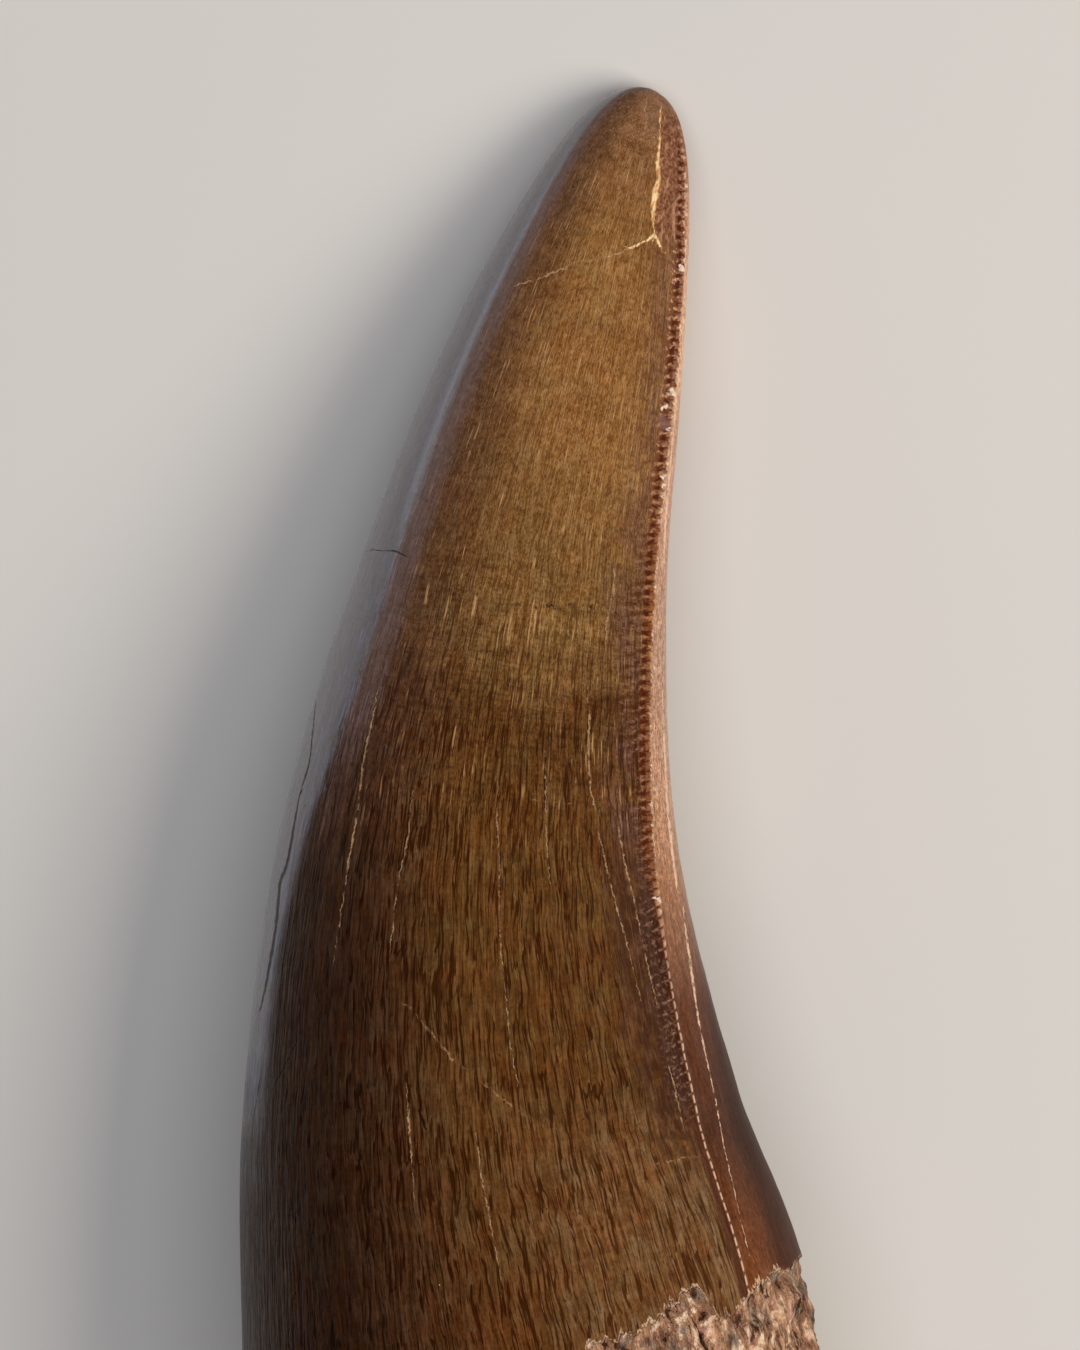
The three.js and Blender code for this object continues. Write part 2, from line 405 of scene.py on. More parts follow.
# Fine cracks of the outer side, each a line of (x, y, half width) in the tooth's own
# millimetres. In some the enamel's lips are fresh and pale, and the chip's lip also carries painted
# highlights; others have filled with dirt, and the crevice in the root is darkened with painted shade.
chip_lip = [
    [(7.35, 90.5, 0.04), (7.3, 89.9, 0.09), (7.3, 89.6, 0.03), (7.25, 88.3, 0.09), (7.15, 87.1, 0.16),
     (7.25, 86.0, 0.17), (7.0, 85.2, 0.23), (6.9, 84.5, 0.2), (6.85, 83.2, 0.07), (7.0, 82.5, 0.1),
     (7.3, 81.9, 0.06)],
    [(6.9, 82.6, 0.09), (6.5, 82.3, 0.07), (5.9, 82.0, 0.06), (5.5, 81.85, 0.05)],
]
pale_cracks = [
    [(5.5, 81.85, 0.04), (4.8, 81.5, 0.05), (3.9, 81.15, 0.03), (3.7, 81.3, 0.02)],
    [(3.7, 81.3, 0.03), (3.65, 81.0, 0.03), (2.0, 80.95, 0.02), (1.7, 80.6, 0.06), (0.8, 80.25, 0.06),
     (0.0, 79.9, 0.05), (-1.2, 79.6, 0.04), (-1.7, 79.4, 0.02)],
    [(6.5, 91.2, 0.03), (6.35, 90.3, 0.05), (6.45, 89.9, 0.04), (6.3, 88.8, 0.02)],
    [(7.35, 51.5, 0.02), (7.55, 50.0, 0.05), (7.8, 47.9, 0.04), (8.1, 45.7, 0.05), (8.3, 44.1, 0.03)],
    [(4.7, 47.0, 0.03), (5.0, 44.9, 0.05), (5.45, 43.4, 0.04), (5.9, 41.2, 0.03), (6.3, 39.4, 0.02)],
    [(6.3, 39.4, 0.03), (6.6, 38.0, 0.04), (7.0, 36.3, 0.03)],
    [(-9.65, 55.2, 0.03), (-10.3, 52.1, 0.06), (-10.6, 50.6, 0.06), (-10.8, 48.2, 0.05),
     (-11.3, 45.5, 0.06), (-11.6, 43.6, 0.04), (-12.3, 38.8, 0.02)],
    [(-7.6, 49.3, 0.02), (-7.8, 46.7, 0.05), (-8.5, 43.3, 0.04), (-8.9, 39.5, 0.02)],
    [(-2.5, 49.8, 0.02), (-2.6, 47.5, 0.04), (-2.4, 45.2, 0.04), (-2.4, 40.6, 0.03), (-2.1, 37.6, 0.03),
     (-1.7, 33.9, 0.04), (-1.2, 31.2, 0.02)],
    [(2.8, 55.5, 0.02), (2.95, 53.5, 0.05), (2.9, 50.8, 0.06), (3.05, 49.1, 0.05), (3.3, 48.0, 0.03)],
    [(3.5, 46.7, 0.03), (4.5, 42.4, 0.04), (5.2, 40.0, 0.03), (6.1, 36.4, 0.02)],
    [(0.3, 51.5, 0.02), (0.4, 46.1, 0.04), (0.6, 43.6, 0.02)],
    [(4.2, 63.0, 0.02), (4.5, 62.2, 0.05), (4.3, 60.7, 0.03), (4.0, 59.2, 0.05), (3.9, 57.7, 0.02)],
    [(-7.9, 31.8, 0.02), (-7.75, 29.5, 0.06), (-7.6, 27.6, 0.05), (-7.4, 24.8, 0.02)],
    [(-3.8, 29.1, 0.02), (-3.5, 26.7, 0.05), (-2.9, 23.6, 0.04), (-2.2, 20.0, 0.02)],
    [(7.6, 33.0, 0.02), (7.95, 31.8, 0.05), (8.3, 30.2, 0.04), (8.6, 28.9, 0.02)],
    [(5.7, 71.5, 0.02), (5.6, 70.5, 0.03), (5.4, 69.3, 0.02)],
    [(6.15, 70.0, 0.02), (6.0, 69.2, 0.03)],
    [(6.1, 73.5, 0.02), (5.8, 72.8, 0.03)],
]
facet_highlight_lines = [  # painted highlights along the far edge of the facet behind the rear keel
    [(8.6, 76.0, 0.02), (8.3, 73.0, 0.05), (7.95, 69.5, 0.05), (7.6, 65.6, 0.08), (7.45, 62.5, 0.05)],
    [(7.35, 55.0, 0.02), (7.45, 52.5, 0.05), (7.65, 48.5, 0.07), (7.95, 45.5, 0.1), (8.25, 43.2, 0.06)],
    [(8.6, 42.0, 0.02), (8.85, 39.9, 0.07), (9.2, 37.6, 0.08), (9.45, 35.6, 0.05), (9.9, 33.3, 0.04),
     (10.4, 31.0, 0.035), (11.0, 27.9, 0.03), (11.7, 24.8, 0.025), (12.5, 21.4, 0.02)],
]
scuffs = [
    [(-7.8, 36.4, 0.05), (-6.1, 34.5, 0.07), (-5.2, 33.3, 0.06), (-3.6, 32.1, 0.05),
     (-2.1, 30.9, 0.06), (-0.7, 29.8, 0.04)],
    [(6.7, 26.9, 0.04), (7.6, 27.1, 0.06), (8.6, 27.3, 0.05), (9.7, 27.4, 0.03)],
    [(-0.2, 48.6, 0.02), (0.8, 48.5, 0.03), (1.9, 48.4, 0.02)],
]
dark_cracks = [
    [(-13.5, 54.5, 0.03), (-13.8, 50.9, 0.05), (-14.5, 48.5, 0.06), (-15.0, 45.5, 0.09),
     (-15.3, 44.2, 0.11), (-15.6, 43.9, 0.08), (-15.8, 41.3, 0.1), (-16.1, 39.4, 0.11),
     (-16.5, 37.2, 0.08), (-16.9, 35.6, 0.03)],
    [(-14.2, 34.8, 0.03), (-15.2, 32.7, 0.07), (-16.1, 31.0, 0.03)],
    [(-16.8, 31.8, 0.03), (-17.2, 29.5, 0.05), (-17.4, 27.5, 0.03)],
    [(-10.0, 63.6, 0.04), (-9.3, 63.5, 0.02), (-8.7, 63.5, 0.06), (-8.3, 63.3, 0.05)],
    [(-7.1, 30.2, 0.05), (-6.9, 29.6, 0.1), (-6.7, 29.0, 0.05)],
    [(9.2, 18.0, 0.05), (10.0, 16.6, 0.16), (10.7, 15.3, 0.14), (11.0, 14.0, 0.05)],
]
dotted_cracks = [
    [(-2.4, 60.3, 0.04), (0.0, 60.1, 0.08), (1.2, 60.4, 0.07), (3.4, 60.1, 0.1), (5.2, 60.4, 0.07),
     (6.7, 60.3, 0.02)],
    [(-1.55, 60.2, 0.1), (-1.35, 60.3, 0.13)],
    [(1.0, 60.05, 0.1), (1.3, 60.0, 0.15)],
    [(4.2, 60.15, 0.13), (4.35, 59.9, 0.09)],
    [(-0.5, 61.9, 0.03), (0.7, 61.5, 0.05), (2.2, 61.8, 0.03)],
]
# Painted glints: white highlights on beads of the rear keel, and a hollow among them.
painted_glints = [
    [(8.5, 80.85, 0.08), (8.52, 80.6, 0.13)],
    [(7.95, 73.4, 0.09), (7.9, 73.0, 0.13)],
    [(7.35, 72.15, 0.12), (7.65, 72.25, 0.12)],
    [(7.75, 71.0, 0.06), (7.6, 70.9, 0.08)],
    [(7.3, 68.05, 0.09), (7.36, 67.95, 0.1)],
    [(7.26, 67.5, 0.11), (7.34, 67.42, 0.08)],
    [(7.2, 66.98, 0.08), (7.28, 66.9, 0.1)],
    [(6.8, 42.72, 0.06), (7.05, 42.6, 0.14), (7.15, 42.45, 0.08)],
]
hollow = [[(7.4, 71.5, 0.3), (7.5, 71.1, 0.34)]]
crack_reach = 0.7
out_of_reach = 9


def line_field(lines, spots, showing):
    """The signed way to the nearest line, its half width there, and how strongly it shows."""
    nearest = np.full(len(spots), float(out_of_reach))
    field = np.zeros((len(spots), 3))
    for line in lines:
        knots = np.array(line)
        for start, end in zip(knots[:-1], knots[1:]):
            run = (end - start)[:2]
            t = np.clip(((spots - start[:2]) @ run) / (run @ run), 0, 1)
            aside = spots - (start[:2] + t[:, None] * run)
            way = np.linalg.norm(aside, axis=1)
            side = np.sign(run[0] * aside[:, 1] - run[1] * aside[:, 0])
            closer = way < nearest
            nearest[closer] = way[closer]
            field[closer, 0] = (side * way)[closer]
            field[closer, 1] = (start[2] + t * (end[2] - start[2]))[closer]
    field[:, 2] = ramp(nearest, crack_reach, crack_reach * 0.6) * showing
    return field


def store(name, values):
    """Keeps one value or one vector for each point of the mesh, for the material to read."""
    kind, member = ("FLOAT", "value") if values.ndim == 1 else ("FLOAT_VECTOR", "vector")
    layer = mesh.attributes.new(name, kind, "POINT")
    layer.data.foreach_set(member, values.astype(np.float32).ravel())


# The growth places fan out with the crown, as its fibres do.
growth_fan = 0.95
even_half_width = 12
straight[:, [0, 2]] *= (1 - drawn_in)[:, None]
straight[:, 1] -= depth
growth = straight.copy()
growth[:, [0, 2]] *= ((even_half_width / np.maximum(half_width_at(length), 4)) ** growth_fan)[:, None]
faces_out = (np.sin(angle) > -0.35) * (1 - on_break)
share_across = straight[:, 0] / np.maximum(half_width_at(length), 0.5)
store("straight", straight)
store("growth", growth)
store("keel", np.stack([from_rear, count, keel_run], axis=1))
store("front_keel", np.stack([from_front, front_count, front_run], axis=1))
store("regions", np.stack([on_enamel - out_of_reach * on_break, share_across, flaked], axis=1))
for name, lines in (("chip_lip", chip_lip), ("pale_cracks", pale_cracks), ("scuffs", scuffs),
                    ("facet_highlight_lines", facet_highlight_lines), ("dark_cracks", dark_cracks),
                    ("dotted_cracks", dotted_cracks)):
    store(name, line_field(lines, place[:, :2], faces_out))
for name, spots in (("painted_glints", painted_glints), ("hollow", hollow)):
    store(name, np.abs(line_field(spots, place[:, :2], faces_out)))


# The finish. Every pattern reads the straightened places stored on the mesh, so the grain runs
# with the tooth's growth. Lengths are millimetres; tones are as they look on a screen.
def tone(red, green, blue):
    """A colour in the 0 to 255 steps of a screen, as the linear colour that a shader takes."""
    steps = (c / 255 for c in (red, green, blue))
    return tuple(c / 12.92 if c <= 0.04045 else ((c + 0.055) / 1.055) ** 2.4 for c in steps) + (1,)


def add(tree, kind, inputs=None, **settings):
    """A node with its settings made and its inputs set or linked."""
    made = tree.nodes.new(kind)
    for name, value in settings.items():
        setattr(made, name, value)
    for key, value in (inputs or {}).items():
        if isinstance(value, bpy.types.NodeSocket):
            tree.links.new(value, made.inputs[key])
        else:
            made.inputs[key].default_value = value
    return made


def linked(kind, inputs, **settings):
    """The outputs of a new node, made in the tree of the sockets among its inputs."""
    socket = next(value for value in inputs.values() if isinstance(value, bpy.types.NodeSocket))
    return add(socket.id_data, kind, inputs, **settings).outputs


def maths(operation, *values):
    return linked("ShaderNodeMath", dict(enumerate(values)), operation=operation)[0]


def times(first, *others):
    """The product of masks and plain factors."""
    for other in others:
        first = maths("MULTIPLY", first, other)
    return first


def stronger(first, second):
    return maths("MAXIMUM", first, second)


def centred(cloud):
    """Noise from 0 to 1 made to sway about 0."""
    return maths("SUBTRACT", cloud, 0.5)


def vector_maths(operation, *values):
    return linked("ShaderNodeVectorMath", dict(enumerate(values)), operation=operation)[0]


def split(vector):
    return linked("ShaderNodeSeparateXYZ", {0: vector})


def blend(factor, first, second, how="MIX"):
    inputs = {0: factor, 6: first, 7: second}
    return linked("ShaderNodeMix", inputs, data_type="RGBA", blend_type=how)[2]


def between(factor, first, second):
    return linked("ShaderNodeMix", {0: factor, 2: first, 3: second}, data_type="FLOAT")[0]


def step(value, low, high):
    """0 below low, 1 above high, smooth between; high may be the smaller one."""
    inputs = {0: value, 1: low, 2: high}
    return linked("ShaderNodeMapRange", inputs, interpolation_type="SMOOTHSTEP")[0]


def band(value, low, high, soft_low, soft_high):
    """1 from low to high, with a soft edge at either end."""
    rising = step(value, low - soft_low, low + soft_low)
    return times(rising, step(value, high + soft_high, high - soft_high))


def noise_at(place, sizes, detail=2.0, roughness=0.5):
    """Noise of these sizes in millimetres across, along and outwards."""
    scaled = vector_maths("DIVIDE", place, sizes)
    inputs = {"Vector": scaled, "Scale": 1.0, "Detail": detail, "Roughness": roughness}
    return linked("ShaderNodeTexNoise", inputs)


def new_group(name, inputs, outputs):
    """An empty node group with its named inputs and outputs."""
    group = bpy.data.node_groups.new(name, "ShaderNodeTree")
    for label, kind in inputs:
        group.interface.new_socket(label, in_out="INPUT", socket_type=kind)
    for label in outputs:
        group.interface.new_socket(label, in_out="OUTPUT", socket_type="NodeSocketFloat")
    return group, group.nodes.new("NodeGroupInput").outputs, group.nodes.new("NodeGroupOutput").inputs


def use(group, inputs):
    return linked("ShaderNodeGroup", inputs, node_tree=group)


NUMBER, VECTOR = "NodeSocketFloat", "NodeSocketVector"

# Lengthwise grain: noise drawn out along the tooth and swayed a little from side to side.
grain, given, made = new_group(
    "lengthwise_grain",
    [("Place", VECTOR), ("Width", NUMBER), ("Length", NUMBER), ("Sway", NUMBER)],
    ["Noise"],
)
slow = noise_at(given["Place"], (2.0, 3, 2.0), 1.0)["Color"]
sway = vector_maths("SUBTRACT", slow, (0.5, 0.5, 0.5))
sway = linked("ShaderNodeVectorMath", {0: sway, "Scale": given["Sway"]}, operation="SCALE")
swayed = vector_maths("ADD", given["Place"], sway[0])
sizes = {0: given["Width"], 1: given["Length"], 2: given["Width"]}
sizes = linked("ShaderNodeCombineXYZ", sizes)[0]
fibre = noise_at(swayed, sizes, 2.0, 0.55)["Fac"]
grain.links.new(fibre, made["Noise"])

# A crack: a thin line where the stored way to it is near nought, frayed and broken by noise.
crack, given, made = new_group(
    "fine_crack",
    [("Place", VECTOR), ("Line", VECTOR), ("Fray", NUMBER), ("Gaps", NUMBER)],
    ["Mask"],
)
line = split(given["Line"])
ragged = noise_at(given["Place"], (0.25, 0.35, 0.25), 3.0, 0.6)["Fac"]
aside = times(centred(ragged), given["Fray"])
way = maths("ABSOLUTE", maths("ADD", line[0], aside))
share = maths("DIVIDE", way, stronger(line[1], 0.005))
broken = noise_at(given["Place"], (0.5, 0.6, 0.5), 3.0, 0.6)["Fac"]
gap = maths("SUBTRACT", given["Gaps"], times(line[1], 1.6))
shows = step(maths("SUBTRACT", broken, gap), 0.0, 0.2)
crack.links.new(times(step(share, 1.3, 0.4), shows, line[2]), made["Mask"])

# Sparse dots: here and there one cell in a scatter holds a speck.
dots, given, made = new_group(
    "sparse_dots",
    [("Place", VECTOR), ("Spacing", NUMBER), ("Radius", NUMBER), ("Share", NUMBER)],
    ["Mask"],
)
ragged = noise_at(given["Place"], (0.12, 0.12, 0.12), 1.0)["Color"]
shifted = linked("ShaderNodeVectorMath", {0: ragged, "Scale": 0.08}, operation="SCALE")[0]
spot = vector_maths("ADD", given["Place"], shifted)
spacing = maths("DIVIDE", 1.0, given["Spacing"])
cell = linked("ShaderNodeTexVoronoi", {"Vector": spot, "Scale": spacing})
near = times(cell["Distance"], given["Spacing"])
inside = maths("DIVIDE", near, given["Radius"])
chance = split(cell["Color"])[0]
chosen = maths("LESS_THAN", chance, given["Share"])
dots.links.new(times(step(inside, 1.2, 0.6), chosen), made["Mask"])

# Serrations: the slits between them, from the running count of serrations.
serrations, given, made = new_group(
    "serrations",
    [("Count", NUMBER), ("Slit Share", NUMBER), ("Softness", NUMBER)],
    ["Slits"],
)
off_slit = maths("ABSOLUTE", centred(maths("FRACT", given["Count"])))
half_slit = times(given["Slit Share"], 0.5)
outer = maths("ADD", half_slit, given["Softness"])
inner = maths("SUBTRACT", half_slit, given["Softness"])
serrations.links.new(step(off_slit, outer, inner), made["Slits"])

fossil = bpy.data.materials.new("fossil_enamel")
fossil.use_nodes = True
tree = fossil.node_tree
surface = tree.nodes["Principled BSDF"]


def read(name):
    return add(tree, "ShaderNodeAttribute", attribute_name=name).outputs["Vector"]


def paint(colour, mask, tint):
    return blend(mask, colour, tint)


def tinted(colour, red, green, blue):
    return blend(1.0, colour, (red, green, blue, 1), "MULTIPLY")


def moved(value, amount, mask):
    """A value moved by this much where a mask is 1."""
    return maths("MULTIPLY_ADD", mask, amount, value)


def clouds(place, sizes, detail=2.0, roughness=0.5):
    return noise_at(place, sizes, detail, roughness)["Fac"]


def flecks(sizes, low, high, detail=2.0, roughness=0.5):
    return step(clouds(place_on, sizes, detail, roughness), low, high)


def tones_along(way, stops):
    """Tones that follow one another down the tooth, each at its length from the tip."""
    made = add(tree, "ShaderNodeValToRGB", {0: maths("DIVIDE", way, tooth_length)})
    spots = made.color_ramp.elements
    for _ in stops[2:]:
        spots.new(0.5)
    for spot, (at, colour) in zip(spots, stops):
        spot.position = at / tooth_length
        spot.color = colour
    return made.outputs[0]


place_on = read("straight")
growth_on = read("growth")
across, along = split(place_on)[:2]
from_tip = maths("SUBTRACT", tooth_length, along)
keel_way, keel_count, keel_here = split(read("keel"))
edge_way, share_over, is_flaked = split(read("regions"))

# The enamel's tones change down the crown in soft uneven bands; painted shade darkens the front.
honey = tone(139, 96, 50)
khaki = tone(121, 85, 43)
umber = tone(89, 55, 21)
chestnut = tone(92, 56, 20)
# The next two are tones of painted shade: one for the front, a deeper one for a painted shadow low on
# it.
front_shade_tone = tone(76, 44, 26)
shadow_brown = tone(34, 16, 4)

slow_noise = clouds(place_on, (7, 7, 7), 3.0)
growth_noise = clouds(place_on, (14, 1.6, 14), 3.0)
uneven_way = moved(from_tip, 9.0, centred(slow_noise))
uneven_way = moved(uneven_way, 5.0, centred(growth_noise))
colour = tones_along(uneven_way, [
    (1, tone(140, 97, 62)), (11, honey), (22, honey), (29, khaki), (34.5, khaki), (38, umber),
    (44, chestnut), (56, tone(88, 54, 20)), (70, tone(86, 52, 20)), (77, tone(84, 49, 18))])
warm_low = times(step(uneven_way, 60, 70), step(across, -1, 6))
colour = paint(colour, times(warm_low, 0.8), tone(108, 72, 38))
# Painted shade towards the front, and a deep painted shadow low on the front.
shaded_front = step(share_over, 0.0, -0.6)
colour = paint(colour, times(shaded_front, 0.7), front_shade_tone)
low_front_shadow = times(step(uneven_way, 36, 56), step(share_over, 0.05, -0.7))
colour = paint(colour, times(low_front_shadow, 0.8), shadow_brown)

# Along the front edge lies a smooth band of painted reflection in cool grey, with a mauve hem of painted
# sheen.
sheen_from = between(step(from_tip, 36, 54), -0.76, -0.9)
past_sheen_edge = maths("SUBTRACT", share_over, sheen_from)
sheen_band = times(step(past_sheen_edge, 0.03, -0.05), step(uneven_way, 68, 53))
hem = times(step(past_sheen_edge, 0.2, 0.06), step(from_tip, 48, 36))

# Slow unevenness: blotches, growth rings across, and patches that lean to olive or to red.
blotches = clouds(place_on, (2.2, 1.4, 2.2), 3.0, 0.6)
patch_light = tinted(colour, 1.4, 1.42, 1.45)
patch_dark = tinted(colour, 0.6, 0.54, 0.45)
colour = paint(colour, times(step(blotches, 0.5, 0.75), 0.35), patch_light)
colour = paint(colour, times(step(blotches, 0.5, 0.25), 0.45), patch_dark)
rings = clouds(place_on, (7, 0.5, 7), 3.0, 0.6)
ringed = between(band(from_tip, 31, 44, 3, 3), 0.3, 0.6)
colour = paint(colour, times(step(rings, 0.5, 0.72), ringed), patch_light)
colour = paint(colour, times(step(rings, 0.5, 0.28), ringed), patch_dark)
hue = clouds(place_on, (1.6, 2.4, 1.6), 3.0, 0.6)
redder = tinted(colour, 1.0, 0.82, 0.7)
greener = tinted(colour, 0.95, 1.15, 1.3)
patchy = between(step(from_tip, 30, 50), 0.25, 0.6)
colour = paint(colour, times(step(hue, 0.5, 0.66), patchy, 1.2), redder)
colour = paint(colour, times(step(hue, 0.52, 0.38), patchy), greener)

# Painted reflection: the mauve hem and the cool grey band along the front edge.
colour = paint(colour, times(hem, 0.75), tone(104, 82, 74))
colour = paint(colour, times(sheen_band, 0.85), tone(116, 114, 118))

# Beside the rear keel the enamel turns mauve; behind it a smooth facet is paler, and amber low.
# Lower on the facet, and away from the keel, it is darkened with painted shadow.
mauve = tone(92, 58, 42)
beside_keel = times(band(keel_way, 0.6, 3.0, 0.3, 1.6), band(from_tip, 26, 64, 3, 4))
colour = paint(colour, times(beside_keel, flecks((2, 3, 2), 0.3, 0.6), 0.75), mauve)
reddened = times(band(keel_way, 0.8, 2.4, 0.4, 1.0), band(from_tip, 9, 28, 3, 3))
colour = paint(colour, times(reddened, flecks((0.7, 1.2, 0.7), 0.3, 0.55, 3.0), 0.7), tone(112, 74, 50))
behind_keel = times(step(keel_way, -0.1, -0.2), step(keel_way, -16, -6))
# From 48 to 66 millimetres down, the facet's tones darken as painted shadow.
facet = tones_along(from_tip, [
    (3, tone(160, 106, 78)), (9, tone(214, 160, 122)), (15, tone(230, 176, 128)),
    (20, tone(198, 146, 114)), (34, tone(184, 142, 114)), (43, tone(190, 142, 108)),
    (48, tone(168, 118, 84)), (57, tone(94, 52, 30)), (66, tone(70, 34, 16)), (76, tone(112, 60, 26))])
mottle = clouds(place_on, (0.16, 0.9, 0.16), 3.0, 0.6)
paler_facet = tinted(facet, 1.6, 1.6, 1.6)
deeper_facet = tinted(facet, 0.55, 0.5, 0.46)
facet = paint(facet, times(step(mottle, 0.5, 0.7), 0.7), paler_facet)
facet = paint(facet, times(step(mottle, 0.5, 0.3), 0.7), deeper_facet)
colour = paint(colour, times(behind_keel, 0.9), facet)
# Painted shadow over the facet low down and away from the keel.
far_facet_shadow = times(step(keel_way, -1.5, -4), step(from_tip, 46, 64))
colour = paint(colour, times(far_facet_shadow, 0.75), tone(44, 18, 6))

# Grain: fine and faint towards the tip, coarse and deep towards the base, and faint where the
# skin is smooth: on the front's sheen band, on the facet and on a dark strip beside the ladder of rungs.
low_down = step(from_tip, 26, 46)
off_sheen = between(stronger(sheen_band, times(hem, 0.7)), 1.0, 0.2)
by_ladder = times(band(keel_way, 0.6, 3.4, 0.3, 0.9), band(from_tip, 47, 68, 3, 3))
grain_here = between(stronger(behind_keel, times(by_ladder, 0.6)), off_sheen, 0.25)
lighter = tinted(colour, 1.6, 1.95, 2.9)
pale_bank = tinted(colour, 1.75, 2.3, 4.0)
darker = tinted(colour, 0.38, 0.25, 0.08)
fibres = use(grain, {"Place": growth_on, "Width": 0.15, "Length": 3.2, "Sway": 0.25})["Noise"]
creases = use(grain, {"Place": growth_on, "Width": 0.1, "Length": 1.7, "Sway": 0.2})["Noise"]
folds = use(grain, {"Place": growth_on, "Width": 0.34, "Length": 6.5, "Sway": 0.5})["Noise"]
grit = clouds(growth_on, (0.11, 0.22, 0.11), 2.0, 0.6)
mottles = clouds(place_on, (0.35, 0.5, 0.35), 3.0, 0.6)
off_fold = centred(folds)
crease_depth = times(between(low_down, 0.5, 0.9), grain_here)
creases = times(step(creases, 0.43, 0.34), crease_depth)
fold_depth = times(between(step(from_tip, 24, 44), 0.45, 1.0), grain_here)
crevices = times(step(maths("ABSOLUTE", off_fold), 0.06, 0.02), fold_depth)
crevices = times(crevices, step(fibres, 0.58, 0.47))
banks = times(band(off_fold, 0.035, 0.09, 0.015, 0.03), fold_depth)
fibre_light = times(between(low_down, 0.35, 1.0), grain_here)
colour = paint(colour, times(step(fibres, 0.48, 0.66), fibre_light), lighter)
# Painted highlight: pale banks beside the grain's crevices.
colour = paint(colour, times(banks, flecks((0.6, 1.6, 0.6), 0.4, 0.54), 0.85), pale_bank)
mottled = times(between(step(from_tip, 40, 50), 0.45, 0.25), off_sheen)
colour = paint(colour, times(step(mottles, 0.5, 0.66), mottled), lighter)
colour = paint(colour, times(step(mottles, 0.5, 0.34), mottled), darker)
gritty = times(between(step(from_tip, 42, 52), 0.65, 0.35), off_sheen)
colour = paint(colour, times(step(grit, 0.5, 0.7), gritty), lighter)
colour = paint(colour, times(step(grit, 0.5, 0.32), gritty), darker)
# Creases and crevices darken, partly as the enamel's dark grain and partly as painted shade in the
# grooves.
colour = paint(colour, times(stronger(times(creases, 0.6), crevices), 0.95), darker)
cross_grain = clouds(place_on, (0.9, 0.12, 0.9), 2.0, 0.6)
crossed = times(band(from_tip, 30, 41, 2, 3), grain_here)
colour = paint(colour, times(step(cross_grain, 0.47, 0.34), crossed, 0.4), darker)
pits = use(dots, {"Place": place_on, "Spacing": 0.9, "Radius": 0.08, "Share": 0.35})["Mask"]
specks = use(dots, {"Place": place_on, "Spacing": 2.4, "Radius": 0.05, "Share": 0.35})["Mask"]
colour = paint(colour, times(pits, 0.75), darker)
colour = paint(colour, times(specks, 0.7), tone(225, 200, 165))
scratches = times(step(fibres, 0.62, 0.68), flecks((1.0, 1.6, 1.0), 0.5, 0.58), grain_here)
colour = paint(colour, times(scratches, step(from_tip, 50, 40), 0.6), tone(196, 154, 108))
colour = paint(colour, times(by_ladder, flecks((0.6, 0.9, 0.6), 0.3, 0.6), 0.8), tone(61, 33, 18))

# The keel: amber serrations over a red-brown groove with darker slits, which run out over the
# enamel as wrinkles. Each serration has painted shade on its outer half and a painted highlight
# along its inner edge. Low down there is a ladder of rungs beside a thin line.
slit_brown = tone(80, 30, 10)
groove_brown = tone(112, 62, 36)
rung_pale = tone(160, 120, 100)
bead_highlight = tone(248, 224, 200)
jitter = noise_at(place_on, (0.45, 0.45, 0.45), 3.0, 0.6)["Color"]
jitter = split(vector_maths("SUBTRACT", jitter, (0.5, 0.5, 0.5)))
jogged = moved(keel_count, 1.2, jitter[0])
ragged_way = moved(keel_way, 0.7, jitter[1])
slits = use(serrations, {"Count": jogged, "Slit Share": 0.54, "Softness": 0.13})[0]
thin_slits = use(serrations, {"Count": jogged, "Slit Share": 0.34, "Softness": 0.12})[0]
between_slits = maths("SUBTRACT", 1.0, slits)
upper = step(from_tip, 56, 46)

groove_reach = between(step(from_tip, 22, 30), 0.9, 0.52)
past_groove = maths("SUBTRACT", ragged_way, groove_reach)
in_groove = times(step(ragged_way, 0.0, 0.1), step(past_groove, 0.12, -0.1), keel_here, upper)
colour = paint(colour, times(in_groove, 0.75), groove_brown)
bricks = times(in_groove, between_slits, flecks((0.3, 0.25, 0.3), 0.44, 0.6))
colour = paint(colour, times(bricks, between(step(from_tip, 8, 30), 0.8, 0.3)), tone(214, 168, 136))
wrinkle_way = times(ragged_way, between(band(from_tip, 30, 40, 3, 3), 1.0, 0.6))
wrinkled = times(step(ragged_way, 0.25, 0.45), step(wrinkle_way, 1.7, 0.8),
                 band(from_tip, 25, 49, 3, 4), keel_here)
wrinkle_dark = times(thin_slits, wrinkled, flecks((0.7, 0.3, 0.7), 0.35, 0.55))
colour = paint(colour, times(wrinkle_dark, 0.75), slit_brown)
colour = paint(colour, times(between_slits, wrinkled, flecks((0.4, 0.15, 0.4), 0.48, 0.65), 0.5),
               rung_pale)
slit_here = times(slits, in_groove, flecks((0.5, 0.35, 0.5), 0.32, 0.46))
slit_here = times(slit_here, step(ragged_way, 0.75, 0.4))
colour = paint(colour, times(slit_here, 0.95), slit_brown)

